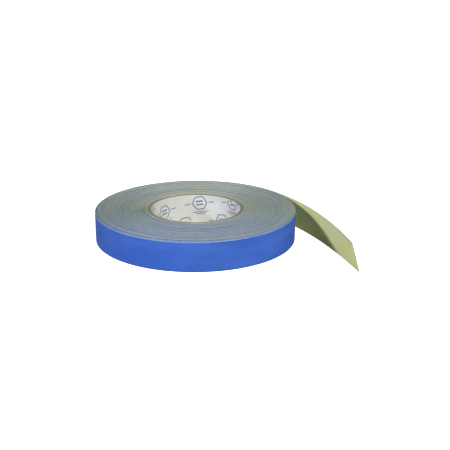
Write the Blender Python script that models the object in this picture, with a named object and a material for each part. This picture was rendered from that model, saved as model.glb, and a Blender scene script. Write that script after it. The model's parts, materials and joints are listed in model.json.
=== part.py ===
"""A roll of 25 mm grip tape on a paper core, lying flat, with a free tail standing on its edge.

Frame: +Z up, z = 0 on the table. The origin is under the middle of the footprint of the roll and
its tail, so the roll's own axis is the vertical line at ROLL_AXIS.

The tape is a laminate of two strips: the printed film with its grip coat and adhesive (outside)
and the release liner (inside). Both are wound as true spirals, from a tack strip on the core out
to the tail. The last part of the outer wrap and the tail can move, so there the two strips are cut
into links. Every link turns about the ruling line that it shares with the link before it.
"""

import math

import bmesh
import bpy
from mathutils import Vector

MM = 0.001

# ---- driving dimensions: millimetres, and degrees where noted --------------------------------
ROLL_AXIS = Vector((-21.44, -0.25, 0.0))
TAPE_WIDTH = 25.0
ROLL_RADIUS = 86.5          # film surface where the tail leaves the roll
FILM_T = 0.70               # film with its grip coat and adhesive
LINER_T = 0.20              # release liner
GAP = 0.05                  # between neighbouring strips
LAMINATE_T = FILM_T + GAP + LINER_T
PITCH = LAMINATE_T + GAP
TURNS = 43.2                # from the inner end to the point where the tail leaves

# Each strip's outer and inner face, as depths below the film's outer face.
STRIPS = {"film": (0.0, FILM_T), "liner": (FILM_T + GAP, LAMINATE_T)}

# Core plies
CORE_BORE_RADIUS = 38.1     # 3 inch core
CORE_PRINT_T = 0.30         # printed inner ply
CORE_BOARD_T = 0.68         # each board ply
CORE_BOARD_PLIES = 4
CORE_WRAP_T = 0.23          # outer kraft ply
CORE_GAP = 0.05
CORE_FACETS = 48
CORE_STEP = 360.0 / CORE_FACETS     # degrees per facet

# Sloping butt joint in each ply
SEAM_ANGLE = 30.5           # degrees from the horizontal
SEAM_GAP = 0.4
SEAM_FIRST = 152.0          # degrees round the axis, innermost ply
SEAM_STAGGER = 73.0         # degrees from one ply's seam to the next
CUTTER_DEPTH = 0.6          # radial size of a seam cutter, as a share of the ply's radius
CUTTER_OVERSIZE = 1.5       # length of a seam cutter over the length of the seam

# Double-sided strip that starts the winding
TACK_T = 0.12
TACK_WIDTH = 21.0
TACK_SPAN = 30.0            # degrees
TACK_SETBACK = 2.0          # least distance from the tape's inner end, degrees

# Winding and its loose outer wrap
COARSE_STEP = 18.0          # degrees per facet in the winding
FINE_STEP = 9.0             # degrees per facet in the last turns
FINE_TURNS = 2
LEAVE_ANGLE = 45.0          # degrees, where the tail leaves the roll
INNER_END = LEAVE_ANGLE + 360.0 * TURNS
WRAP_LINKS = 4              # loose links of the outer wrap
WRAP_LINK_ARC = 18.0        # degrees each
WRAP_START = LEAVE_ANGLE + WRAP_LINKS * WRAP_LINK_ARC
LINK_GAP = 0.5              # between neighbouring links
HALF_GAP_ANGLE = math.degrees(LINK_GAP / 2 / ROLL_RADIUS)

# Tail
TAIL_LENGTH = 160.0
TAIL_LINK_LENGTH = 23.5     # every link but the last, which carries the part that peels
TAIL_BEND = (0.607, 0.129, 0.143)   # curvature times ROLL_RADIUS: start, middle control, end
TAIL_LEAN = 16.0            # degrees at the tip: the top edge leans towards the roll's side
LEAN_POWER = 1.5            # how the lean grows along the tail
TAIL_CUT = 0.94             # the cut end runs this much further along the bottom edge
LINK_STEPS = 3              # facets between one ruling line and the next
PEEL_START = 15.5           # liner left on the last link before the part that peels
WALK_STEPS = 1600           # steps that trace the tail's curve

# Winding the tail back on takes out its lean as well as bending it, so each tail joint turns about
# a line that slopes from square across the tape by this much, and the links are cut along it.
RULING_SLOPES = (0.0, 0.153, 0.201, 0.219, 0.250, 0.230)

# Lines across the tail as (length along it at mid height, slope): the start of each link, then
# the cut end.
CUT_END = (TAIL_LENGTH - TAIL_CUT / 2, -TAIL_CUT / TAPE_WIDTH)
LINES = [(i * TAIL_LINK_LENGTH, slope) for i, slope in enumerate(RULING_SLOPES)] + [CUT_END]
PEEL_LINE = (LINES[-2][0] + PEEL_START, 0.0)

SHARP_ANGLE = 40.0          # degrees, edges steeper than this are shaded sharp
JOINT_DISPLAY_SIZE = 0.01   # metres, of a joint's empty


# ---- materials -----------------------------------------------------------------------------
def linear(channel):
    """A 0-255 sRGB channel as a linear value."""
    channel /= 255
    return channel / 12.92 if channel <= 0.04045 else ((channel + 0.055) / 1.055) ** 2.4


def material(name, rgb, roughness):
    made = bpy.data.materials.new(name)
    made.use_nodes = True
    shader = made.node_tree.nodes["Principled BSDF"]
    shader.inputs["Base Color"].default_value = (*[linear(channel) for channel in rgb], 1.0)
    shader.inputs["Roughness"].default_value = roughness
    return made


# ---- helpers -------------------------------------------------------------------------------
def add_object(name, shape, look, parent=None):
    """An object from a bmesh in millimetres. A moving piece has its origin on its joint."""
    pivot = parent.matrix_world.translation.copy() if parent else Vector((0, 0, 0))
    for vert in shape.verts:
        vert.co = vert.co * MM - pivot
    bmesh.ops.recalc_face_normals(shape, faces=shape.faces)
    mesh = bpy.data.meshes.new(name)
    shape.to_mesh(mesh)
    shape.free()
    mesh.shade_smooth()
    mesh.set_sharp_from_angle(angle=math.radians(SHARP_ANGLE))
    mesh.materials.append(look)
    made = bpy.data.objects.new(name, mesh)
    bpy.context.scene.collection.objects.link(made)
    made.parent = parent
    return made


def add_joint(name, place, parent=None):
    """An empty on a joint's axis, at a place in millimetres."""
    empty = bpy.data.objects.new(name, None)
    empty.empty_display_size = JOINT_DISPLAY_SIZE
    bpy.context.scene.collection.objects.link(empty)
    offset = parent.matrix_world.translation if parent else Vector((0, 0, 0))
    empty.location = place * MM - offset
    empty.parent = parent
    # Children read this joint's world matrix.
    bpy.context.view_layer.update()
    return empty


def sweep(sections, closed=False):
    """A bar through four-cornered sections, capped at its ends or closed into a ring."""
    shape = bmesh.new()
    rings = [[shape.verts.new(corner) for corner in section] for section in sections]
    following = rings[1:] + rings[:1] if closed else rings[1:]
    for here, there in zip(rings, following):
        for i in range(4):
            j = (i + 1) % 4
            shape.faces.new((here[i], here[j], there[j], there[i]))
    if not closed:
        shape.faces.new(rings[0])
        shape.faces.new(list(reversed(rings[-1])))
    return shape


def polar(radius, degrees, z):
    angle = math.radians(degrees)
    return ROLL_AXIS + Vector((radius * math.cos(angle), radius * math.sin(angle), z))


def upright_section(inner, outer, degrees, low=0.0, high=TAPE_WIDTH):
    """Corners at an angle: inner bottom, outer bottom, outer top, inner top."""
    return [
        polar(inner, degrees, low),
        polar(outer, degrees, low),
        polar(outer, degrees, high),
        polar(inner, degrees, high),
    ]


# ---- core ----------------------------------------------------------------------------------
def cut_seam(ply, radius, degrees):
    """The sloping butt joint where a ply, a strip wound on a slant, meets its own next turn."""
    bpy.ops.mesh.primitive_cube_add(size=1.0)
    cutter = bpy.context.object
    cutter.name = ply.name + "_seam_cutter"
    length = TAPE_WIDTH / math.sin(math.radians(SEAM_ANGLE)) * CUTTER_OVERSIZE
    cutter.scale = (radius * CUTTER_DEPTH * MM, length * MM, SEAM_GAP * MM)
    bpy.ops.object.transform_apply(location=False, rotation=False, scale=True)
    cutter.rotation_euler = (math.radians(SEAM_ANGLE), 0.0, math.radians(degrees))
    cutter.location = polar(radius, degrees, TAPE_WIDTH / 2) * MM
    cutter.hide_render = True
    cutter.display_type = "WIRE"
    cut = ply.modifiers.new("seam", "BOOLEAN")
    cut.operation = "DIFFERENCE"
    cut.solver = "EXACT"
    cut.object = cutter


def build_core(print_look, board_look, kraft_look):
    """The plies, from the inside out. Returns the core's outer radius."""
    plies = [
        ("core_printed_inner_ply", CORE_PRINT_T, print_look),
        *[(f"core_board_ply_{i + 1}", CORE_BOARD_T, board_look) for i in range(CORE_BOARD_PLIES)],
        ("core_kraft_outer_ply", CORE_WRAP_T, kraft_look),
    ]
    inner = CORE_BORE_RADIUS
    for i, (name, thickness, look) in enumerate(plies):
        outer = inner + thickness
        sections = [upright_section(inner, outer, k * CORE_STEP) for k in range(CORE_FACETS)]
        ply = add_object(name, sweep(sections, closed=True), look)
        cut_seam(ply, inner + thickness / 2, SEAM_FIRST + SEAM_STAGGER * i)
        inner = outer + CORE_GAP
    return outer


def build_tack_strip(core_radius, look):
    """The strip that sticks the inner end of the tape to the core, on the core's own facets."""
    start = INNER_END % 360.0 - TACK_SPAN - TACK_SETBACK
    start = CORE_STEP * math.floor(start / CORE_STEP)
    inner = core_radius + CORE_GAP
    low = (TAPE_WIDTH - TACK_WIDTH) / 2
    sections = [
        upright_section(inner, inner + TACK_T, start + i * CORE_STEP, low, low + TACK_WIDTH)
        for i in range(round(TACK_SPAN / CORE_STEP) + 1)
    ]
    add_object("core_tack_strip", sweep(sections), look)


# ---- winding -------------------------------------------------------------------------------
def film_radius(degrees):
    """Radius of the film's outer face. degrees counts back along the tape to the inner end."""
    return ROLL_RADIUS - PITCH * (degrees - LEAVE_ANGLE) / 360.0


def wound_section(degrees, strip):
    outer, inner = (film_radius(degrees) - depth for depth in STRIPS[strip])
    return upright_section(inner, outer, degrees)


def on_facet(degrees, strip):
    """The section on the straight facet that holds this angle, so that facets stay parallel."""
    # The small term keeps an angle on a facet's start from rounding down to the facet before.
    low = LEAVE_ANGLE + math.floor((degrees - LEAVE_ANGLE) / FINE_STEP + 1e-9) * FINE_STEP
    share = (degrees - low) / FINE_STEP
    pairs = zip(wound_section(low, strip), wound_section(low + FINE_STEP, strip))
    return [here.lerp(there, share) for here, there in pairs]


def winding_angles():
    """From the first loose link back to the core, fine facets first."""
    fine_end = LEAVE_ANGLE + 360.0 * FINE_TURNS
    angles = []
    angle = WRAP_START + FINE_STEP
    while angle < INNER_END - 1e-6:
        angles.append(angle)
        angle += FINE_STEP if angle < fine_end - 1e-6 else COARSE_STEP
    return angles + [INNER_END]


def build_winding(looks):
    for strip, look in looks.items():
        sections = [on_facet(WRAP_START + HALF_GAP_ANGLE, strip)]
        sections += [wound_section(angle, strip) for angle in winding_angles()]
        add_object(f"wound_{strip}", sweep(sections), look)


def wrap_link(high, strip):
    """Loose link of the outer wrap that runs from the angle high towards the tail."""
    low = high - WRAP_LINK_ARC
    sections = [on_facet(high - HALF_GAP_ANGLE, strip)]
    angle = high - FINE_STEP
    while angle > low + 1e-6:
        sections.append(wound_section(angle, strip))
        angle -= FINE_STEP
    sections.append(on_facet(low + HALF_GAP_ANGLE, strip))
    return sweep(sections)


def build_wrap(looks):
    """Loose links, each on its own hinge. Link 1 is the furthest from the tail.

    Returns the last joint.
    """
    joint = None
    for i in range(WRAP_LINKS):
        angle = WRAP_START - i * WRAP_LINK_ARC
        place = polar(film_radius(angle) - LAMINATE_T / 2, angle, TAPE_WIDTH / 2)
        joint = add_joint(f"joint_unwind_{i + 1}", place, joint)
        for strip, look in looks.items():
            add_object(f"wrap_{strip}_{i + 1}", wrap_link(angle, strip), look, joint)
    return joint


# ---- tail ----------------------------------------------------------------------------------
def walk_tail():
    """The tail's heading and the plan position of its lower edge, in small steps."""
    step = TAIL_LENGTH / WALK_STEPS
    heading = math.radians(LEAVE_ANGLE - 90.0)
    place = polar(ROLL_RADIUS - LAMINATE_T / 2, LEAVE_ANGLE, 0.0)
    path = [(heading, place.copy())]
    start, middle, end = TAIL_BEND
    for i in range(WALK_STEPS):
        share = (i + 0.5) / WALK_STEPS
        rest = 1 - share
        bend = start * rest ** 2 + 2 * middle * share * rest + end * share ** 2
        turn = bend / ROLL_RADIUS * step
        mid_heading = heading - turn / 2
        place += Vector((math.cos(mid_heading), math.sin(mid_heading), 0.0)) * step
        heading -= turn
        path.append((heading, place.copy()))
    return path


PATH = walk_tail()


def tail_frame(length):
    """Across and outward directions of the tail, and its mid-height point, at a length along it.

    Past either end the tail runs on straight.
    """
    on_tail = min(max(length, 0.0), TAIL_LENGTH)
    steps = on_tail / TAIL_LENGTH * WALK_STEPS
    low = min(int(steps), WALK_STEPS - 1)
    share = steps - low
    (heading, place), (next_heading, next_place) = PATH[low:low + 2]
    heading += (next_heading - heading) * share
    place = place.lerp(next_place, share)
    lean = math.radians(TAIL_LEAN) * (max(length, 0.0) / TAIL_LENGTH) ** LEAN_POWER
    along = Vector((math.cos(heading), math.sin(heading), 0.0))
    inward = Vector((math.sin(heading), -math.cos(heading), 0.0))
    across = Vector((0, 0, 1)) * math.cos(lean) + inward * math.sin(lean)
    outward = across.cross(along)
    # Leaning tips the inner face's bottom edge down, so the tail is lifted back onto the table.
    lift = Vector((0, 0, LAMINATE_T / 2 * math.sin(lean)))
    centre = place + along * (length - on_tail) + across * (TAPE_WIDTH / 2) + lift
    return across, outward, centre


def tail_section(line, strip):
    """The strip's corners on a line across the tail, in the same order as upright_section."""
    length, slope = line
    outer, inner = (LAMINATE_T / 2 - depth for depth in STRIPS[strip])
    bottom, top = -TAPE_WIDTH / 2, TAPE_WIDTH / 2
    corners = []
    for height, offset in ((bottom, inner), (bottom, outer), (top, outer), (top, inner)):
        across, outward, centre = tail_frame(length + slope * height)
        corners.append(centre + across * height + outward * offset)
    return corners


def tail_link(lines, strip):
    """The strip from the first line to the last, by way of any others its facets must share.

    It stops half a gap short of each end line, but runs right up to the cut end.
    """
    lines = list(lines)
    lines[0] = (lines[0][0] + LINK_GAP / 2, lines[0][1])
    if lines[-1] != CUT_END:
        lines[-1] = (lines[-1][0] - LINK_GAP / 2, lines[-1][1])
    sections = [tail_section(lines[0], strip)]
    for here, there in zip(lines, lines[1:]):
        for i in range(LINK_STEPS):
            share = (i + 1) / LINK_STEPS
            line = tuple(a + (b - a) * share for a, b in zip(here, there))
            sections.append(tail_section(line, strip))
    return sweep(sections)


def build_tail(looks, joint):
    """The tail's links, hinged on from the wrap's last joint. Returns the last joint."""
    for i, (start, end) in enumerate(zip(LINES, LINES[1:]), 1):
        joint = add_joint(f"joint_tail_bend_{i}", tail_frame(start[0])[2], joint)
        lines = {"film": (start, end), "liner": (start, end)}
        if end == CUT_END:
            # The film runs on under the part of the liner that peels.
            lines = {"film": (start, PEEL_LINE, end), "liner": (start, PEEL_LINE)}
        for strip, look in looks.items():
            add_object(f"tail_{strip}_{i}", tail_link(lines[strip], strip), look, joint)
    return joint


def build_liner_tip(look, parent):
    """The tip of the liner, hinged in its own thickness where it peels off the film."""
    _, outward, centre = tail_frame(PEEL_LINE[0])
    offset = LAMINATE_T / 2 - sum(STRIPS["liner"]) / 2
    joint = add_joint("joint_liner_peel", centre + outward * offset, parent)
    add_object("tail_liner_tip", tail_link((PEEL_LINE, CUT_END), "liner"), look, joint)


# ---- the scene -----------------------------------------------------------------------------
for leftover in list(bpy.data.objects):
    bpy.data.objects.remove(leftover)

TAPE_LOOKS = {
    "film": material("film_blue", rgb=(62, 104, 190), roughness=0.45),
    "liner": material("liner_yellow_green", rgb=(184, 189, 138), roughness=0.6),
}

core_radius = build_core(
    print_look=material("core_print_white", rgb=(222, 220, 214), roughness=0.7),
    board_look=material("core_board_brown", rgb=(150, 116, 74), roughness=0.9),
    kraft_look=material("core_kraft_tan", rgb=(176, 138, 92), roughness=0.85),
)
build_tack_strip(core_radius, material("tack_strip_tan", rgb=(214, 200, 160), roughness=0.5))
build_winding(TAPE_LOOKS)
last_wrap_joint = build_wrap(TAPE_LOOKS)
last_tail_joint = build_tail(TAPE_LOOKS, last_wrap_joint)
build_liner_tip(TAPE_LOOKS["liner"], last_tail_joint)
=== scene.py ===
"""Looks of a roll of grip tape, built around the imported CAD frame.

The roll lies flat on z = 0 with its axis along +Z. The winding shrinks inwards as the polar angle
grows, and the tail leaves it on the +x +y side and runs out towards -y. The tape is modelled as
it is made: a film with a pebbled blue face, slit edges and an adhesive back, and a thin release
liner. Geometry code works in millimetres; objects are in metres, in the frame's coordinates.
"""

import json
import math

import bpy
import numpy as np
from mathutils import Matrix, Vector

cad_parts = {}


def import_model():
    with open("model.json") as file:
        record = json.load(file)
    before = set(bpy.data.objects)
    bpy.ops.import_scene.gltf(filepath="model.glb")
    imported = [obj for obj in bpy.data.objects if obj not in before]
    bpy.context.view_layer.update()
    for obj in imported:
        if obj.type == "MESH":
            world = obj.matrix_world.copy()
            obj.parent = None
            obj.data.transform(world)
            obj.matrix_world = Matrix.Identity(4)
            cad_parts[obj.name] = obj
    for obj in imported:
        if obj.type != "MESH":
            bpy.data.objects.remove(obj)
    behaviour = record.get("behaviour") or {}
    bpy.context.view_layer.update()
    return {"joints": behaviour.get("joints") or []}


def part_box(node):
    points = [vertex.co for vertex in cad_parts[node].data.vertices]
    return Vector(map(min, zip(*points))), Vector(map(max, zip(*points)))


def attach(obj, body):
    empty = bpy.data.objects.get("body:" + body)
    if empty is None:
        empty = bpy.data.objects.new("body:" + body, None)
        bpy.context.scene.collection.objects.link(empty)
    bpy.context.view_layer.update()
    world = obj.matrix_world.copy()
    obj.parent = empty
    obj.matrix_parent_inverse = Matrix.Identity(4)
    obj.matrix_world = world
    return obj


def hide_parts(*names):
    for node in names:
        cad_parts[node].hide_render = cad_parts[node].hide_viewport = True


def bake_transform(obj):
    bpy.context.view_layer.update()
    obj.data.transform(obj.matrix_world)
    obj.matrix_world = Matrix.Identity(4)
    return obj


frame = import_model()
JOINTS = {joint["name"]: joint for joint in frame["joints"]}
MM = 0.001

# ---- measures of the tape, in mm and degrees -------------------------------------------------
WIDTH = 25.0
HALF_W = WIDTH / 2
THICK = 0.95                # film, adhesive and liner together
FILM = (THICK / 2, -0.235)  # outer and inner face, from the middle of the thickness
LINER = (-0.245, -THICK / 2)
ROLL_R = 86.5               # outside of the winding where the tail leaves
MID_R = ROLL_R - THICK / 2
BORE_R = 38.1
PITCH = 1.0                 # radius lost per turn
TURNS = 43.2
LEAVE = 45.0                # polar angle where the tail leaves
INNER_END = LEAVE + 360 * TURNS
WRAP_HINGE = 117.0          # polar angle of the first hinge of the loose wrap
WRAP_STEP = 18.0            # from one wrap hinge to the next
OUTER = WRAP_HINGE + WRAP_STEP / 2  # where the fixed winding begins
TAIL = 160.0
TAIL_BEND = (0.607, 0.129, 0.143)  # quadratic Bezier of the tail's curvature, times ROLL_R
LEAN = 16.0                 # lean of the tail at its end
CUT_SKEW = 0.94             # how far the end cut runs along the tape over its width
LINK = 23.5                 # between the tail's hinges
HINGE_SLOPES = (0.0, 0.153, 0.201, 0.219, 0.250, 0.230)  # of the tail hinges' lines
PEEL = 5 * LINK + 15.5      # where the liner peels off the film
RELIEF = 0.03               # height of the pebbles

# mesh density
FILM_COLUMNS, LINER_COLUMNS = 55, 14
FILM_STEP, LINER_STEP, FLAP_STEP = 0.46, 0.9, 0.5


def box_middle(node):
    """Middle in plan (mm) of a CAD piece."""
    low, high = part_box(node)
    return (low.x + high.x) / 2 / MM, (low.y + high.y) / 2 / MM


AXIS_X, AXIS_Y = box_middle("core_printed_inner_ply")
AXIS = np.array([AXIS_X, AXIS_Y, 0])


# ---- frames along the tape -------------------------------------------------------------------
def walk_tail():
    """Arc length, heading and x, y (from the roll's axis) in small steps along the tail."""
    count = 3200
    step = TAIL / count
    share = (np.arange(count) + 0.5) / count
    start, middle, end = TAIL_BEND
    bend = start * (1 - share) ** 2 + 2 * middle * share * (1 - share) + end * share * share
    turned = np.concatenate([[0], np.cumsum(bend / ROLL_R * step)])
    heading = math.radians(LEAVE - 90) - turned
    halfway = (heading[:-1] + heading[1:]) / 2
    leave = math.radians(LEAVE)
    x = MID_R * math.cos(leave) + np.concatenate([[0], np.cumsum(np.cos(halfway) * step)])
    y = MID_R * math.sin(leave) + np.concatenate([[0], np.cumsum(np.sin(halfway) * step)])
    return np.linspace(0, TAIL, count + 1), heading, x, y


TAIL_WALK = walk_tail()


def tape_frames(arc):
    """Along, across, outward and middle point (mm) at arc length past the point of leaving.

    Negative lengths lie in the winding.
    """
    arc = np.asarray(arc, float)
    on_tail = np.clip(arc, 0, TAIL)
    heading, x, y = (np.interp(on_tail, TAIL_WALK[0], column) for column in TAIL_WALK[1:])
    lean = math.radians(LEAN) * (on_tail / TAIL) ** 1.5
    zero = np.zeros_like(arc)
    up = np.array([0, 0, 1.0])
    along = np.stack([np.cos(heading), np.sin(heading), zero], -1)
    inward = np.stack([np.sin(heading), -np.cos(heading), zero], -1)
    across = up * np.cos(lean)[..., None] + inward * np.sin(lean)[..., None]
    outward = -np.cross(along, across)
    centre = np.stack([x, y, zero], -1) + along * (arc - on_tail)[..., None] + across * HALF_W
    centre[..., 2] += THICK / 2 * np.sin(lean)

    degrees = LEAVE - np.degrees(arc / MID_R)
    angle = np.radians(degrees)
    radius = ROLL_R - PITCH * (degrees - LEAVE) / 360 - THICK / 2
    along_roll = np.stack([np.sin(angle), -np.cos(angle), zero], -1)
    out_roll = np.stack([np.cos(angle), np.sin(angle), zero], -1)
    centre_roll = out_roll * radius[..., None] + up * HALF_W

    on_roll = (arc < 0)[..., None]
    along = np.where(on_roll, along_roll, along)
    across = np.where(on_roll, up, across)
    outward = np.where(on_roll, out_roll, outward)
    return along, across, outward, np.where(on_roll, centre_roll, centre) + AXIS


# ---- small unevenness ------------------------------------------------------------------------
rng = np.random.default_rng(20)
# wave numbers along and across the tape, and phase, of waves 0.95 to 1.7 mm long
GRAIN = [
    (2 * math.pi / length * math.cos(way), 2 * math.pi / length * math.sin(way), phase)
    for length, way, phase in zip(
        rng.uniform(0.95, 1.7, 26), rng.uniform(0, math.pi, 26), rng.uniform(0, 2 * math.pi, 26)
    )
]
# waves per turn, height in mm and phase
SWAY = list(
    zip(
        (0.137, 0.291, 0.473, 0.811, 1.319, 2.17, 3.41),
        (0.066, 0.080, 0.076, 0.062, 0.044, 0.026, 0.014),
        rng.uniform(0, 2 * math.pi, 7),
    )
)


def relief(arc, across, depth):
    """Pebbles on the film's face, fading out before the slit edges and the cut end."""
    total = np.zeros(arc.shape)
    for k_along, k_across, phase in GRAIN:
        total += np.cos(k_along * arc + k_across * across + phase)
    pebbles = np.tanh(total / math.sqrt(len(GRAIN) / 2) * 1.2)
    fade = np.clip((HALF_W - 0.15 - np.abs(across)) / 0.6, 0, 1)
    fade = fade * np.clip((TAIL - arc) / 0.8, 0, 1)
    return np.where(depth >= FILM[0] - 1e-6, pebbles * RELIEF * fade, 0.0)


def ease(value, start, end):
    """Smooth step from 0 at start to 1 at end."""
    share = np.clip((value - start) / (end - start), 0, 1)
    return share * share * (3 - 2 * share)


def sway(degrees):
    """How far a turn stands above its neighbours, in mm: the strip wanders as it is wound."""
    turn = (degrees - LEAVE) / 360
    total = sum(size * np.sin(2 * math.pi * rate * turn + phase) for rate, size, phase in SWAY)
    level = 0.1 + 0.9 * ease(degrees, start=INNER_END, end=INNER_END - 900)
    return (total + 0.14) * ease(degrees, start=130, end=250) * level


def slack(degrees):
    """Room left under the loose wrap, in mm: the turns next to it lie closer to the axis."""
    back = np.clip((degrees - 490) / (360 * 6.5), 0, 1)
    return 0.27 * ease(degrees, start=128, end=390) * (1 - back)


def settle(degrees):
    """How far inward a turn lies, in mm: the first turns lie on the core and climb over the inner
    end in a short ramp, which turns further out smooth into an even spiral."""
    turn = np.clip((INNER_END - degrees) / 360, 0, None)
    whole = np.floor(turn + 1e-9)
    part = np.clip(turn - whole, 0, 1)
    ramp = np.minimum(1.0, 0.10 + 0.08 * whole)
    climbed = np.clip((part - 1 + ramp) / ramp, 0, 1)
    return (part - climbed) * PITCH + 0.49 * np.clip(1 - turn / 12, 0, 1)


# ---- materials -------------------------------------------------------------------------------
def linear(rgb):
    """Linear RGBA of an sRGB colour given as 0 to 255."""
    c = np.array(rgb, float) / 255
    c = np.where(c <= 0.04045, c / 12.92, ((c + 0.055) / 1.055) ** 2.4)
    return (*c.tolist(), 1.0)


class Nodes:
    """A node tree under construction. Inputs are given as {socket: value or output}."""

    def __init__(self, tree):
        self.tree = tree

    def feed(self, node, inputs):
        for key, value in inputs.items():
            if isinstance(value, bpy.types.NodeSocket):
                self.tree.links.new(value, node.inputs[key])
            else:
                node.inputs[key].default_value = value

    def node(self, kind, inputs=None, **settings):
        made = self.tree.nodes.new(kind)
        for key, value in settings.items():
            setattr(made, key, value)
        self.feed(made, inputs or {})
        return made


class Look(Nodes):
    """A Principled material. Colours are sRGB triples.

    Two mesh attributes place the textures: "tape" is mm along, across and through the tape, and
    "ring" the direction from the roll's axis (two numbers) and the distance from it in mm.
    """

    def __init__(self, name):
        self.mat = bpy.data.materials.new(name)
        self.mat.use_nodes = True
        super().__init__(self.mat.node_tree)
        self.shader = self.tree.nodes["Principled BSDF"]

    def scaled(self, vector, scale=(1, 1, 1)):
        """A vector output, or an attribute by name, times a scale."""
        if isinstance(vector, str):
            attribute = self.node("ShaderNodeAttribute", attribute_name=vector)
            vector = attribute.outputs["Vector"]
        inputs = {0: vector, 1: scale}
        return self.node("ShaderNodeVectorMath", inputs, operation="MULTIPLY").outputs[0]

    def axes(self, attribute):
        return self.node("ShaderNodeSeparateXYZ", {0: self.scaled(attribute)}).outputs

    def noise(self, vector, scale, detail, rough=0.5):
        inputs = {"Vector": self.scaled(vector, scale), "Scale": 1.0}
        inputs.update({"Detail": detail, "Roughness": rough})
        return self.node("ShaderNodeTexNoise", inputs).outputs["Fac"]

    def ramp(self, value, span, out=(0.0, 1.0)):
        """Smooth step between the ends of out, as the value crosses the span."""
        inputs = {"Value": value, "From Min": span[0], "From Max": span[1]}
        inputs.update({"To Min": out[0], "To Max": out[1]})
        made = self.node("ShaderNodeMapRange", inputs, interpolation_type="SMOOTHSTEP")
        return made.outputs["Result"]

    def math(self, operation, value, other=0.0):
        return self.node("ShaderNodeMath", {0: value, 1: other}, operation=operation).outputs[0]

    def times(self, value, by):
        return self.math("MULTIPLY", value, by)

    def mix(self, where, low, high):
        low, high = (linear(c) if isinstance(c, tuple) else c for c in (low, high))
        inputs = {0: where, 6: low, 7: high}
        return self.node("ShaderNodeMix", inputs, data_type="RGBA", blend_type="MIX").outputs[2]

    def tint(self, base, to, where):
        return self.mix(where, base, to)

    def bump(self, height, distance, strength):
        inputs = {"Height": height, "Distance": distance, "Strength": strength}
        self.feed(self.shader, {"Normal": self.node("ShaderNodeBump", inputs).outputs[0]})

    def set(self, **values):
        self.feed(self.shader, {key.replace("_", " "): v for key, v in values.items()})
        return self.mat


def film_face():
    look = Look("film_grip_face")
    across = look.axes("tape")[1]
    cloud = look.noise("tape", scale=(0.018, 0.06, 0.0), detail=3)
    speck = look.noise("tape", scale=(2.6, 2.6, 1), detail=3, rough=0.6)
    base = look.mix(look.ramp(cloud, span=(0.35, 0.65)), low=(49, 88, 188), high=(59, 98, 200))
    pale_speck = look.ramp(speck, span=(0.50, 0.80), out=(0, 0.30))
    base = look.tint(base, to=(84, 122, 192), where=pale_speck)
    dark_speck = look.ramp(speck, span=(0.46, 0.24), out=(0, 0.35))
    base = look.tint(base, to=(31, 59, 134), where=dark_speck)
    # the coat is paler along the upper edge, partly worn and partly a painted highlight where the
    # edge catches the light, and darker along the edge it stands on
    worn = look.ramp(across, span=(11.15, 12.1))
    painted_bottom_shade = look.ramp(across, span=(-11.5, -12.3))
    patches = look.noise("tape", scale=(0.5, 2.0, 1), detail=4)
    edge_patchiness = look.ramp(patches, span=(0.30, 0.62), out=(0.35, 1.0))
    outer = look.ramp(look.axes("tape")[0], span=(-760, -690))
    pale = look.mix(outer, low=(58, 88, 150), high=(142, 168, 200))
    base = look.tint(base, to=pale, where=look.times(worn, edge_patchiness))
    # painted shade: the darker band along the bottom edge stands in for the contact shadow at the
    # floor
    base = look.tint(base, to=(34, 58, 122), where=look.times(painted_bottom_shade, edge_patchiness))
    fine = look.noise("tape", scale=(3.4, 3.4, 1), detail=4, rough=0.62)
    look.bump(fine, distance=0.00005, strength=0.6)
    sheen = look.noise("tape", scale=(1.1, 1.1, 1), detail=2)
    rough = look.ramp(sheen, span=(0.3, 0.7), out=(0.44, 0.60))
    return look.set(Base_Color=base, Roughness=rough, Specular_IOR_Level=0.18)


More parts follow.
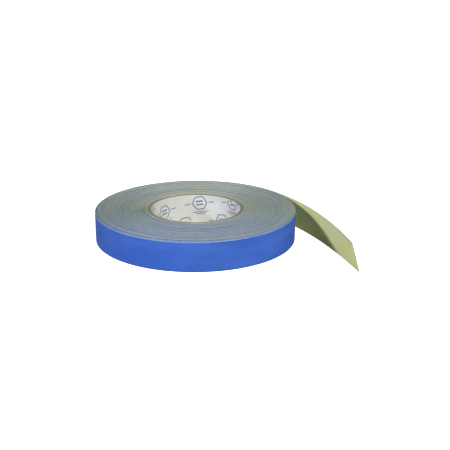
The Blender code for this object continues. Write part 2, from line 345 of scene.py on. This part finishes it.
def film_edge():
    look = Look("film_slit_edge")
    along, _, depth = look.axes("tape")
    bands = look.noise("ring", scale=(1.6, 1.6, 0.30), detail=3, rough=0.65)
    patch = look.noise("ring", scale=(1.1, 1.1, 0.045), detail=2)
    drift = look.noise("tape", scale=(0.011, 0.0, 0.0), detail=4, rough=0.6)
    fine = look.noise("tape", scale=(0.9, 1.0, 5.0), detail=3)
    tone = look.math("ADD", look.times(bands, by=0.5), look.times(drift, by=0.5))
    # the edges are tinted bluer towards the front, painted light standing in for the lit blue sides
    # of the raised turns seen from there, and bluer towards the back too; near the core they are
    # less blue and the glue is paler
    side_x, side_y, radius = look.axes("ring")
    front = look.ramp(side_y, span=(-0.35, -0.90), out=(0.0, 0.75))
    back = look.ramp(side_y, span=(0.50, 0.95), out=(0.0, 0.42))
    open_side = look.math("ADD", front, back)
    inner = look.ramp(radius, span=(46, 62), out=(1.0, 0.0))
    clear = look.math("SUBTRACT", open_side, look.times(inner, by=0.45))
    blue = look.math("ADD", look.ramp(tone, span=(0.40, 0.60), out=(0.0, 0.6)), clear)
    carrier = look.mix(blue, low=(80, 101, 87), high=(53, 82, 149))
    glue = look.mix(look.ramp(patch, span=(0.42, 0.58)), low=(95, 111, 86), high=(115, 123, 98))
    thin = look.math("ADD", look.ramp(tone, span=(0.42, 0.60), out=(0, 0.35)), clear)
    glue = look.tint(glue, to=(76, 97, 138), where=thin)
    glue = look.tint(glue, to=(146, 155, 134), where=look.times(inner, by=0.6))
    base = look.mix(look.ramp(depth, span=(0.06, 0.14)), low=glue, high=carrier)
    # painted light: paler stretches on the right, at the back and on the far left of the top face
    right = look.ramp(side_x, span=(0.2, 0.9), out=(0.0, 0.35))
    painted_light_right = look.times(right, look.ramp(side_y, span=(-0.65, -0.20)))
    base = look.tint(base, to=(126, 138, 126), where=painted_light_right)
    far = look.ramp(side_y, span=(0.6, 0.95), out=(0.0, 0.40))
    base = look.tint(base, to=(147, 148, 148), where=far)
    left = look.ramp(side_x, span=(-0.1, -0.6), out=(0.0, 0.35))
    far_left = look.times(left, look.ramp(side_y, span=(0.1, 0.5)))
    base = look.tint(base, to=(134, 142, 154), where=far_left)
    # clean along the tail, and blue where the coat shows
    base = look.tint(base, to=(178, 174, 158), where=look.ramp(along, span=(-140, 10)))
    base = look.tint(base, to=(50, 80, 150), where=look.ramp(depth, span=(0.22, 0.34)))
    streaks = look.ramp(fine, span=(0.35, 0.75), out=(0, 0.35))
    base = look.tint(base, to=(46, 56, 62), where=streaks)
    look.bump(fine, distance=0.00006, strength=0.6)
    rough = look.ramp(fine, span=(0.3, 0.7), out=(0.55, 0.78))
    return look.set(Base_Color=base, Roughness=rough, Specular_IOR_Level=0.25)


def film_back():
    look = Look("film_adhesive_back")
    blot = look.noise("tape", scale=(0.12, 0.12, 1), detail=4)
    fine = look.noise("tape", scale=(1.6, 1.6, 1), detail=3)
    base = look.mix(look.ramp(blot, span=(0.35, 0.65)), low=(118, 134, 150), high=(134, 148, 158))
    pale = look.ramp(fine, span=(0.55, 0.75), out=(0, 0.3))
    base = look.tint(base, to=(168, 178, 180), where=pale)
    look.bump(fine, distance=0.00004, strength=0.5)
    rough = look.ramp(fine, span=(0.3, 0.7), out=(0.16, 0.34))
    return look.set(Base_Color=base, Roughness=rough, Coat_Weight=0.35, Coat_Roughness=0.12)


def liner_face():
    look = Look("release_liner_face")
    cloud = look.noise("tape", scale=(0.03, 0.05, 1), detail=3)
    fibre = look.noise("tape", scale=(0.7, 3.2, 1), detail=4, rough=0.6)
    along, across, _ = look.axes("tape")
    base = look.mix(look.ramp(cloud, span=(0.35, 0.65)), low=(218, 220, 163), high=(223, 224, 175))
    # painted shadow: over the first part of the tail, where the roll's shadow falls on it, the
    # liner is tinted a deeper olive with less blue, fading out towards the open end
    painted_shadow_reach = look.ramp(along, span=(0.80 * TAIL, 0.35 * TAIL), out=(0.0, 0.95))
    painted_shadow_tint = look.times(painted_shadow_reach, look.ramp(along, span=(-15, 30), out=(0.3, 1.0)))
    base = look.tint(base, to=(214, 221, 139), where=painted_shadow_tint)
    pale_fibre = look.ramp(fibre, span=(0.52, 0.78), out=(0, 0.35))
    base = look.tint(base, to=(230, 232, 186), where=pale_fibre)
    dark_fibre = look.ramp(fibre, span=(0.46, 0.24), out=(0, 0.30))
    base = look.tint(base, to=(190, 196, 122), where=dark_fibre)
    edge = look.ramp(look.math("ABSOLUTE", across), span=(11.3, 12.4), out=(0, 0.6))
    base = look.tint(base, to=(190, 184, 156), where=edge)
    # between the turns its margins are muted to a grey-green, less so at the front and back
    side_y = look.math("ABSOLUTE", look.axes("ring")[1])
    flank = look.ramp(side_y, span=(0.50, 0.92), out=(0.8, 0.25))
    rolled = look.ramp(along, span=(10, -60))
    margin = look.ramp(look.math("ABSOLUTE", across), span=(10.4, 12.0))
    muted_margins = look.times(look.times(rolled, margin), flank)
    base = look.tint(base, to=(162, 171, 154), where=muted_margins)
    look.bump(fibre, distance=0.00003, strength=0.4)
    rough = look.ramp(fibre, span=(0.3, 0.7), out=(0.46, 0.60))
    return look.set(Base_Color=base, Roughness=rough, Specular_IOR_Level=0.3)


def liner_edge():
    look = Look("release_liner_edge")
    drift = look.noise("tape", scale=(0.016, 0.0, 0.0), detail=3)
    fine = look.noise("tape", scale=(1.6, 1.0, 6.0), detail=3)
    base = look.mix(look.ramp(drift, span=(0.38, 0.62)), low=(148, 158, 134), high=(168, 175, 156))
    streaks = look.ramp(fine, span=(0.45, 0.8), out=(0, 0.35))
    base = look.tint(base, to=(130, 134, 100), where=streaks)
    look.bump(fine, distance=0.00004, strength=0.6)
    return look.set(Base_Color=base, Roughness=0.78, Specular_IOR_Level=0.25)


def paper(name, light, dark, speck, rough, fibre=(0.5, 1.6), depth=0.00006):
    """Uncoated paper or board: cloudy colour, long fibres and a few darker flecks."""
    look = Look(name)
    at = look.scaled("tape")
    cloud = look.noise(at, scale=(0.10, 0.10, 0.4), detail=3)
    fibres = look.noise(at, scale=(*fibre, 3.0), detail=5, rough=0.62)
    fleck = look.noise(at, scale=(1.3, 2.6, 2.0), detail=2)
    base = look.mix(look.ramp(cloud, span=(0.3, 0.7)), light, dark)
    base = look.tint(base, to=dark, where=look.ramp(fibres, span=(0.45, 0.80), out=(0, 0.5)))
    base = look.tint(base, to=speck, where=look.ramp(fleck, span=(0.66, 0.72), out=(0, 0.55)))
    look.bump(fibres, distance=depth, strength=0.8)
    roughness = look.ramp(fibres, span=(0.3, 0.7), out=(rough - 0.08, rough + 0.06))
    return look.set(Base_Color=base, Roughness=roughness)


def print_ink():
    look = Look("core_print_ink")
    place = look.scaled(look.node("ShaderNodeTexCoord").outputs["Object"])
    patch = look.noise(place, scale=(900, 900, 900), detail=3)
    worn = look.ramp(patch, span=(0.46, 0.70), out=(0, 0.30))
    base = look.mix(worn, low=(100, 108, 138), high=(158, 163, 182))
    return look.set(Base_Color=base, Roughness=0.7)


TAPE_LOOKS = {
    "film": (film_face(), film_edge(), film_back()),
    "liner": (liner_face(), liner_edge()),
}
PRINT = paper("core_print_paper", light=(195, 197, 205), dark=(187, 189, 196),
              speck=(173, 174, 180), rough=0.62, depth=0.00003)
BOARD = paper("core_board_paper", light=(158, 132, 100), dark=(128, 102, 74),
              speck=(96, 74, 54), rough=0.9)
# painted shade: a darker board edge, used on the first board ply for the shade along the core's
# inner lip
BOARD_EDGE_PAINTED_SHADE = paper("core_board_edge", light=(78, 73, 59), dark=(60, 56, 45),
                   speck=(47, 43, 34), rough=0.95, fibre=(1.0, 1.0), depth=0.0001)
BOARD_PALE = paper("core_board_edge_pale", light=(124, 119, 103), dark=(101, 98, 83),
                   speck=(79, 75, 62), rough=0.95, fibre=(1.0, 1.0), depth=0.0001)
KRAFT = paper("core_kraft_paper", light=(136, 132, 113), dark=(112, 108, 90),
              speck=(89, 85, 69), rough=0.85)
TACK = paper("core_tack_tissue", light=(196, 186, 150), dark=(180, 168, 130),
             speck=(160, 144, 106), rough=0.4)
INK = print_ink()


# ---- mesh building ---------------------------------------------------------------------------
def signed_volume(verts, faces):
    total = 0.0
    by_size = {}
    for face in faces:
        by_size.setdefault(len(face), []).append(face)
    for size, group in by_size.items():
        index = np.array(group)
        first = verts[index[:, 0]]
        for k in range(1, size - 1):
            normal = np.cross(verts[index[:, k]], verts[index[:, k + 1]])
            total += np.einsum("ij,ij->i", first, normal).sum()
    return total / 6


def build_mesh(name, verts, faces, mats, face_mats=None, tape=None):
    """One object from vertices in mm. mats are materials, face_mats the index per face."""
    verts = np.asarray(verts, float).reshape(-1, 3)
    if signed_volume(verts - verts.mean(0), faces) < 0:
        faces = [tuple(reversed(face)) for face in faces]
    mesh = bpy.data.meshes.new(name)
    mesh.from_pydata((verts * MM).tolist(), [], faces)
    for mat in mats:
        mesh.materials.append(mat)
    if face_mats is not None:
        mesh.polygons.foreach_set("material_index", np.asarray(face_mats, np.int32))
    if tape is not None:
        around = verts - AXIS
        radius = np.maximum(np.hypot(around[:, 0], around[:, 1]), 1e-6)
        ring = np.stack([around[:, 0] / radius, around[:, 1] / radius, radius], -1)
        for key, values in (("tape", tape), ("ring", ring)):
            layer = mesh.attributes.new(key, "FLOAT_VECTOR", "POINT")
            layer.data.foreach_set("vector", np.asarray(values, np.float32).reshape(-1))
    mesh.shade_smooth()
    mesh.set_sharp_from_angle(angle=math.radians(35))
    mesh.update()
    return link_object(name, mesh)


def link_object(name, data):
    obj = bpy.data.objects.new(name, data)
    bpy.context.scene.collection.objects.link(obj)
    return obj


def ride_roll(piece, node):
    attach(piece, "roll")
    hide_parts(node)


def round_axis(radius, angle, z):
    """Points at a radius and angle (radians) round the roll's axis."""
    x = AXIS_X + radius * np.cos(angle)
    return np.stack([x, AXIS_Y + radius * np.sin(angle), np.broadcast_to(z, x.shape)], -1)


def loft(rows, cols, caps=True):
    """Quads of a grid of rows by cols vertices that closes round the columns, with flat ends."""
    i, j = np.meshgrid(np.arange(rows - 1), np.arange(cols), indexing="ij")
    k = (j + 1) % cols
    quads = np.stack([i * cols + j, (i + 1) * cols + j, (i + 1) * cols + k, i * cols + k], -1)
    faces = [tuple(q) for q in quads.reshape(-1, 4).tolist()]
    if caps:
        faces.append(tuple(range(cols - 1, -1, -1)))
        faces.append(tuple((rows - 1) * cols + c for c in range(cols)))
    return faces


# Profiles are closed loops of (across, depth, material): 0 face, 1 edge, 2 adhesive back.
def film_profile(columns, back):
    outer, inner = FILM
    face = [(t, outer, 0) for t in np.linspace(-HALF_W + 0.05, HALF_W - 0.05, columns)]
    top = [
        (HALF_W, outer - 0.06, 1),
        (HALF_W - 0.01, 0.13, 1),
        (HALF_W - 0.06, 0.09, 1),
        (HALF_W - 0.05, inner + 0.07, 1),
        (HALF_W - 0.12, inner, 2),
    ]
    rear = [(t, inner, 2) for t in np.linspace(HALF_W - 0.12, -HALF_W + 0.12, back)[1:-1]]
    bottom = [(-across, depth, 1) for across, depth, _ in reversed(top)]
    face[-1] = (*face[-1][:2], 1)
    bottom[-1] = (*bottom[-1][:2], 0)
    return face + top + rear + bottom


def liner_profile(columns):
    outer, inner = LINER
    reach = HALF_W - 0.03
    face = [(t, outer, 0) for t in np.linspace(-reach, reach, columns)]
    rear = [(t, inner, 0) for t in np.linspace(reach, -reach, columns)]
    face[-1] = (*face[-1][:2], 1)
    rear[-1] = (*rear[-1][:2], 1)
    middle = (outer + inner) / 2
    return face + [(HALF_W, middle, 1)] + rear + [(-HALF_W, middle, 1)]


def profile_columns(kind, columns, back):
    points = film_profile(columns, back) if kind == "film" else liner_profile(columns)
    return (np.array(column, float) for column in zip(*points))


def tape_piece(name, kind, verts, tape, slots):
    rows, cols = tape.shape[:2]
    face_mats = np.concatenate([np.tile(slots, rows - 1), [1, 1]])
    return build_mesh(name, verts, loft(rows, cols), TAPE_LOOKS[kind], face_mats, tape)


def strip(name, kind, start, end, step, columns):
    """Film or liner between two lines across the tape, each (arc length at mid width, slope)."""
    t, h, slots = profile_columns(kind, columns, back=6)
    rows = max(2, int(math.ceil((end[0] - start[0]) / step)) + 1)
    share = np.linspace(0, 1, rows)[:, None]
    slope = start[1] + (end[1] - start[1]) * share
    arc = start[0] + (end[0] - start[0]) * share + slope * t[None, :]
    t, h = np.broadcast_to(t, arc.shape), np.broadcast_to(h, arc.shape)
    _, across, outward, centre = tape_frames(arc)
    verts = centre + across * t[..., None] + outward * (h + relief(arc, t, h))[..., None]
    return tape_piece(name, kind, verts, np.stack([arc, t, h], -1), slots)


def winding(name, kind, start, end, per_turn, columns):
    """Film or liner of the winding between two polar angles."""
    t, h, slots = profile_columns(kind, columns, back=2)
    rows = int(math.ceil((end - start) / 360 * per_turn)) + 1
    degrees = np.linspace(start, end, rows)[:, None]
    arc = -np.radians(degrees - LEAVE) * MID_R + 0 * t[None, :]
    t, h = np.broadcast_to(t, arc.shape), np.broadcast_to(h, arc.shape)
    spiral = ROLL_R - PITCH * (degrees - LEAVE) / 360 - slack(degrees) - settle(degrees)
    radius = spiral - THICK / 2 + h + relief(arc, t, h)
    z = HALF_W + t + sway(degrees) * np.where(t > 0, 1.0, 0.35)
    verts = round_axis(radius, np.radians(degrees), z)
    return tape_piece(name, kind, verts, np.stack([arc, t, h], -1), slots)


# ---- winding: name, kind, first and last angle, rows per turn, columns -----------------------
for name, kind, *measures in (
    ("winding_outer_turn", "film", OUTER, OUTER + 360, 1180, FILM_COLUMNS),
    ("winding_film", "film", OUTER + 360, INNER_END, 192, 2),
    ("winding_liner", "liner", OUTER, INNER_END, 220, 2),
):
    ride_roll(winding(name, kind, *measures), f"wound_{kind}")


# ---- loose wrap and tail ---------------------------------------------------------------------
# Lines across the tape are (arc length at mid width, slope).
def line_at(degrees):
    return (-math.radians(degrees - LEAVE) * MID_R, 0.0)


def bend_span(hinge, arc):
    """Where the tape starts and stops bending about a hinge: points either side of its line."""
    pivot = np.array(JOINTS[hinge]["pos_m"]) / MM
    ruling = np.array(JOINTS[hinge]["axis"], float)
    along, _, outward, _ = tape_frames(np.array([arc]))
    way = np.cross(ruling, outward[0])
    way /= np.linalg.norm(way)
    way *= math.copysign(1, way @ along[0])
    before, after = (9.5, 12.8) if hinge.startswith("unwind") else (10.6, 10.6)
    if hinge == "tail_bend_1":
        before = 7.5
    if hinge == "tail_bend_6":
        after = 12.0
    return [tuple((pivot + way * reach) * MM) for reach in (-before, after)]


peel_line = (PEEL, 0.0)
cut_line = (TAIL - CUT_SKEW / 2, -CUT_SKEW / WIDTH)


def bending_pieces():
    """Film and liner of each link, from midway before its hinge to midway after it."""
    lines = [(i * LINK, slope) for i, slope in enumerate(HINGE_SLOPES)]
    middles = [tuple((a + b) / 2 for a, b in zip(*pair)) for pair in zip(lines, lines[1:])]
    breaks = [line_at(OUTER - WRAP_STEP * i) for i in range(5)] + middles + [peel_line]
    wrap_arcs = [line_at(WRAP_HINGE - WRAP_STEP * i)[0] for i in range(4)]
    arcs = wrap_arcs + [line[0] for line in lines]
    links = [("wrap", "unwind", i) for i in range(1, 5)]
    links += [("tail", "tail_bend", i) for i in range(1, 7)]
    for k, (group, hinge, number) in enumerate(links):
        start, end = bend_span(f"{hinge}_{number}", arcs[k])
        for kind, columns, step in (
            ("film", FILM_COLUMNS, FILM_STEP),
            ("liner", LINER_COLUMNS, LINER_STEP),
        ):
            name = f"{group}_{kind}_bend_{number}"
            piece = strip(name, kind, breaks[k], breaks[k + 1], step, columns)
            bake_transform(piece)
            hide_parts(f"{group}_{kind}_{number}")


def film_end():
    piece = strip("tail_film_end", "film", peel_line, cut_line, FILM_STEP, FILM_COLUMNS)
    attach(piece, "tail_link_6")
    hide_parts("tail_film_6")


def liner_flap():
    piece = strip("tail_liner_flap", "liner", peel_line, cut_line, FLAP_STEP, LINER_COLUMNS)
    pivot = np.array(JOINTS["liner_peel"]["pos_m"])
    end = pivot + tape_frames(np.array([PEEL]))[0][0] * 15 * MM
    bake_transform(piece)
    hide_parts("tail_liner_tip")


bending_pieces()
film_end()
liner_flap()


# ---- core ------------------------------------------------------------------------------------
SEAM_RISE = 1 / math.tan(math.radians(30.5))  # run round the core per mm of height
SEAM_GAP = 0.35
FIRST_SEAM, SEAM_TURN = 152, 73  # degrees: inner ply's seam, and on to each next ply's
PRINT_THICK, BOARD_THICK, KRAFT_THICK = 0.30, 0.71, 0.25
PLY_GAP = 0.02


def wave(angle, seed, size):
    """A closed wavy line round the core, for paper edges that aren't cut dead flat."""
    local = np.random.default_rng(seed)
    total = 0.0
    for rate, phase in zip((3, 5, 8, 13, 21, 34), local.uniform(0, 2 * math.pi, 6)):
        total = total + np.sin(rate * angle + phase) / rate**0.7
    return total * size


def seam_angle(degrees, z, radius):
    return math.radians(degrees) + (z - HALF_W) * SEAM_RISE / radius


def ply(node, r0, r1, seam, looks, seed, sink, levels):
    """One paper ply of the core: a strip wound on a slant, so its butt seam runs on a slant."""
    around = 240
    chamfer = min(0.10, (r1 - r0) * 0.3)
    heights = np.linspace(0.12, WIDTH - 0.12, levels)
    low, high = 0.02, WIDTH - 0.02
    # closed loop of (radius, z, material): up the inside, over the top, down and under
    profile = [(r0, z, 0) for z in heights[:-1]] + [(r0, heights[-1], 1)]
    profile += [(r0 + chamfer, high, 1), (r1 - chamfer, high, 1)]
    profile += [(r1, z, 0) for z in heights[:0:-1]] + [(r1, heights[0], 1)]
    profile += [(r1 - chamfer, low, 1), (r0 + chamfer, low, 1)]
    radius, z, slots = (np.array(column, float) for column in zip(*profile))
    gap = SEAM_GAP / r1
    share = np.linspace(0, 1, around + 1)[:, None]
    angle = seam_angle(seam, z, r1)[None, :] + gap / 2 + (2 * math.pi - gap) * share
    top = np.clip((z - WIDTH + 1.0) / 0.9, 0, 1)
    rise = (wave(angle, seed, size=0.018) - sink) * top
    verts = round_axis(radius, angle, z + rise)
    cols = len(profile)
    faces = loft(around + 1, cols, caps=False)
    face_mats = np.tile(slots, around).tolist()
    # the two faces at the seam, as ladders of quads
    inner = list(range(levels))
    outer = [2 * levels + 1 - k for k in range(levels)]
    ladder = [(inner[k], inner[k + 1], outer[k + 1], outer[k]) for k in range(levels - 1)]
    ladder += [(inner[-1], levels, levels + 1, outer[-1]), (inner[0], outer[0], cols - 2, cols - 1)]
    for row, flip in ((0, False), (around, True)):
        for quad in ladder:
            quad = tuple(row * cols + v for v in quad)
            faces.append(tuple(reversed(quad)) if flip else quad)
            face_mats.append(1)
    flat = [np.broadcast_to(values, angle.shape) for values in (z, radius)]
    tape = np.stack([angle * radius, *flat], -1)
    name = node.replace("core_", "core_visible_")
    ride_roll(build_mesh(name, verts, faces, looks, face_mats, tape), node)


def core_plies():
    """The plies from the bore outwards; sink is how far the top edge lies below the tape's."""
    plies = [("core_printed_inner_ply", PRINT_THICK, (PRINT, PRINT), "core_print", 0.05)]
    for i, sink in enumerate((0.16, 0.11, 0.17, 0.12), 1):
        # the first board ply, next to the bore, takes the darker edge as painted shade along the
        # inner lip
        looks = (BOARD, BOARD_EDGE_PAINTED_SHADE if i == 1 else BOARD_PALE)
        plies.append((f"core_board_ply_{i}", BOARD_THICK, looks, "core_board", sink))
    plies.append(("core_kraft_outer_ply", KRAFT_THICK, (KRAFT, KRAFT), "core_kraft", 0.02))
    radius = BORE_R
    for i, (node, thick, looks, slot, sink) in enumerate(plies):
        ply(node, radius, radius + thick, FIRST_SEAM + SEAM_TURN * i, looks,
            seed=60 + i, sink=sink, levels=15 if i else 46)
        radius += thick + PLY_GAP


def tack_strip():
    """The strip that holds the inner end of the tape on the core."""
    x, y = box_middle("core_tack_strip")
    middle = math.degrees(math.atan2(y - AXIS_Y, x - AXIS_X))
    angle = np.radians(np.linspace(middle - 15, middle + 15, 61))[:, None]
    r0, r1 = 41.70, 41.82
    chamfer = 0.03
    low, high = 2.0, WIDTH - 2.0
    profile = [
        (r0, low + 0.1), (r0 + chamfer, low), (r1 - chamfer, low), (r1, low + 0.1),
        (r1, high - 0.1), (r1 - chamfer, high), (r0 + chamfer, high), (r0, high - 0.1),
    ]
    radius, z = (np.array(column) for column in zip(*profile))
    verts = round_axis(radius, angle, z)
    shape = verts.shape[:2]
    flat = [np.broadcast_to(values, shape) for values in (angle * r1, z, radius)]
    faces = loft(*shape)
    piece = build_mesh("core_visible_tack_strip", verts, faces, (TACK,), None, np.stack(flat, -1))
    ride_roll(piece, "core_tack_strip")


core_plies()
tack_strip()


# ---- marks printed on the core's inner ply ---------------------------------------------------
MARK_ROW = (35.0, 4.9)      # step round the bore and step up, from mark to mark in a row
MARK_COLUMN = (22.3, 14.6)  # the same from row to row, going down
MARK_ANGLE, MARK_Z = 86.8, 17.5  # degrees and height of the first mark
HEXAGON = [
    (6.6 * math.cos(math.radians(60 * k)), 6.6 * math.sin(math.radians(60 * k))) for k in range(7)
]
# points (x, z) from the mark's centre, and width of the stroke
MARK_STROKES = (
    (HEXAGON, 1.0),
    ([(-3.2, 1.5), (3.2, 1.5)], 1.5),
    ([(-3.2, -1.5), (3.2, -1.5)], 1.5),
    ([(-7.5, -8.2), (7.5, -8.2)], 0.8),
    ([(-4.5, -9.9), (4.5, -9.9)], 0.8),
    ([(8.2, 0), (13.5, 0)], 0.9),
    ([(-13.5, 0), (-8.2, 0)], 0.9),
)


def mark_quads():
    """The strokes of one mark cut into short quads, x to the right as seen from inside."""
    slant = math.atan2(MARK_ROW[1], MARK_ROW[0])  # a row of marks climbs to the right
    quads = []
    for points, width in MARK_STROKES:
        for (ax, az), (bx, bz) in zip(points, points[1:]):
            length = math.hypot(bx - ax, bz - az)
            count = max(1, int(math.ceil(length / 0.55)))
            dx, dz = (bx - ax) / length, (bz - az) / length
            for k in range(count):
                near, far = k / count, (k + 1) / count
                quad = []
                for share, side in ((near, -1), (far, -1), (far, 1), (near, 1)):
                    x = ax + (bx - ax) * share - dz * side * width / 2
                    z = az + (bz - az) * share + dx * side * width / 2
                    turned_x = x * math.cos(slant) - z * math.sin(slant)
                    quad.append((turned_x, x * math.sin(slant) + z * math.cos(slant)))
                quads.append(quad)
    return quads


def at_seam(angle, z):
    seam = seam_angle(FIRST_SEAM, z, BORE_R + PRINT_THICK)
    off = (angle - seam + math.pi) % (2 * math.pi) - math.pi
    return abs(off) * BORE_R < 0.8


def printed_marks():
    """Hexagons with two bars and short lines, as thin blocks let into the bore."""
    around = 2 * math.pi * BORE_R
    first = math.radians(MARK_ANGLE) * BORE_R
    quads = mark_quads()
    verts, faces = [], []
    for i in range(-8, 9):
        for j in range(-8, 9):
            x0 = -MARK_ROW[0] * i - MARK_COLUMN[0] * j
            z0 = MARK_Z + (MARK_ROW[1] * i - MARK_COLUMN[1] * j)
            if abs(x0) > around / 2 - 8 or not -7 < z0 < 30:
                continue
            for quad in quads:
                heights = [z0 + z for _, z in quad]
                angles = [(first + x0 - x) / BORE_R for x, _ in quad]
                if not all(0.4 < z < WIDTH - 0.4 for z in heights):
                    continue
                if at_seam(angles[0], heights[0]):
                    continue
                base = len(verts)
                for radius in (BORE_R - 0.045, BORE_R + 0.02):
                    verts.extend(round_axis(radius, np.array(angles), heights).tolist())
                faces.append((base, base + 1, base + 2, base + 3))
                faces.append((base + 7, base + 6, base + 5, base + 4))
                for k in range(4):
                    after = (k + 1) % 4
                    faces.append((base + after, base + k, base + 4 + k, base + 4 + after))
    piece = build_mesh("core_printed_marks", verts, faces, (INK,))
    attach(piece, "roll")


printed_marks()


# ---- stage (metres) --------------------------------------------------------------------------
FLOOR_Z = -0.0003
FLOOR_HALF = 9.0


def floor_material():
    """Seen directly it is an evenly lit white sweep, apart from what shows through the bore;
    towards the object it is a plain pale floor, and from below it is clear."""
    look = Look("floor_white")
    look.set(Base_Color=(0.82, 0.82, 0.82, 1), Roughness=0.9)
    place = look.node("ShaderNodeNewGeometry").outputs
    path = look.node("ShaderNodeLightPath").outputs

    def choose(where, first, second):
        return look.node("ShaderNodeMixShader", {0: where, 1: first, 2: second}).outputs[0]

    # the glow starts outside the bore
    centre = (AXIS_X * MM, AXIS_Y * MM, FLOOR_Z)
    away = look.node("ShaderNodeVectorMath", {0: place["Position"], 1: centre},
                     operation="DISTANCE").outputs["Value"]
    span = {"From Min": 0.045, "From Max": 0.060, "To Min": 0.0, "To Max": 0.93}
    glow = look.node("ShaderNodeMapRange", {"Value": away, **span}).outputs["Result"]
    emission = look.node("ShaderNodeEmission", {"Strength": glow}).outputs[0]
    inputs = {0: look.shader.outputs[0], 1: emission}
    sweep = look.node("ShaderNodeAddShader", inputs).outputs[0]
    # what stands on the floor gets a little light from right under it
    color = (0.24, 0.23, 0.06, 1)
    bounce = look.node("ShaderNodeBsdfDiffuse", {"Color": color}).outputs[0]
    contact = look.node("ShaderNodeEmission", {"Strength": 1.3}).outputs[0]
    close = look.node("ShaderNodeMath", {0: path["Ray Length"], 1: 0.0006},
                      operation="LESS_THAN").outputs[0]
    lit = choose(close, bounce, contact)
    above = look.node("ShaderNodeMath", {0: path["Is Camera Ray"], 1: place["Backfacing"]},
                      operation="SUBTRACT", use_clamp=True).outputs[0]
    seen = choose(above, lit, sweep)
    clear = look.node("ShaderNodeBsdfTransparent").outputs[0]
    surface = choose(place["Backfacing"], seen, clear)
    look.feed(look.tree.nodes["Material Output"], {"Surface": surface})
    return look.mat


def floor():
    mesh = bpy.data.meshes.new("floor")
    corners = [(x * FLOOR_HALF, y * FLOOR_HALF, FLOOR_Z)
               for x, y in ((-1, -1), (1, -1), (1, 1), (-1, 1))]
    mesh.from_pydata(corners, [], [(0, 1, 2, 3)])
    mesh.materials.append(floor_material())
    link_object("floor", mesh)


def area(name, azimuth, elevation, distance, size, power, tint=(1, 1, 1)):
    """A rectangular light aimed at the roll, from a direction in degrees."""
    turn, rise = math.radians(azimuth), math.radians(elevation)
    flat = math.cos(rise)
    way = Vector((math.cos(turn) * flat, math.sin(turn) * flat, math.sin(rise)))
    light = bpy.data.lights.new(name, "AREA")
    light.shape = "RECTANGLE"
    light.size, light.size_y = size
    light.energy = power
    light.color = tint
    obj = link_object(name, light)
    obj.visible_camera = False
    obj.location = Vector((AXIS_X * MM, AXIS_Y * MM, 0.012)) + way * distance
    obj.rotation_euler = (-way).to_track_quat("-Z", "Y").to_euler()


def world():
    """White to the camera, a faint yellowish light to everything else."""
    made = bpy.data.worlds.new("studio")
    made.use_nodes = True
    nodes = Nodes(made.node_tree)
    seen = nodes.node("ShaderNodeLightPath").outputs["Is Camera Ray"]
    levels = {"Value": seen, "To Min": 0.035, "To Max": 1.0}
    strength = nodes.node("ShaderNodeMapRange", levels).outputs[0]
    tones = {0: seen, 6: (1, 1, 0.8, 1), 7: (1, 1, 1, 1)}
    tone = nodes.node("ShaderNodeMix", tones, data_type="RGBA").outputs[2]
    nodes.feed(nodes.tree.nodes["Background"], {0: tone, 1: strength})
    bpy.context.scene.world = made


def camera():
    """A camera in front (-y) and above, aimed at the middle of the roll."""
    cam = bpy.data.cameras.new("camera")
    cam.sensor_width = 36
    cam.lens = 66.088
    cam.shift_x, cam.shift_y = 0.06504444, -0.00773333
    cam.clip_start, cam.clip_end = 0.01, 50
    turn, tilt, roll = (math.radians(angle) for angle in (2.29, 18.57, -0.37))
    distance = 0.7134
    aim = Matrix.Translation((AXIS_X * MM, AXIS_Y * MM, HALF_W * MM))
    aim = aim @ Matrix.Rotation(turn, 4, "Z") @ Matrix.Rotation(math.pi / 2 - tilt, 4, "X")
    aim = aim @ Matrix.Translation((0, 0, distance))
    obj = link_object("camera", cam)
    obj.matrix_world = aim @ Matrix.Rotation(roll, 4, "Z")
    bpy.context.scene.camera = obj


floor()
area("key_left", azimuth=195, elevation=26, distance=2.5, size=(0.34, 0.34), power=44,
     tint=(0.99, 1.0, 1.08))
area("softbox_front", azimuth=295, elevation=38, distance=2.4, size=(1.4, 1.0), power=84,
     tint=(1.01, 1.0, 0.89))
area("softbox_back", azimuth=62, elevation=40, distance=1.3, size=(0.9, 0.5), power=2.0)
area("fill_back", azimuth=80, elevation=4, distance=1.6, size=(1.2, 0.2), power=12,
     tint=(1.0, 1.0, 0.97))
world()
camera()
bpy.context.scene.view_settings.view_transform = "Standard"
bpy.context.scene.view_settings.look = "None"
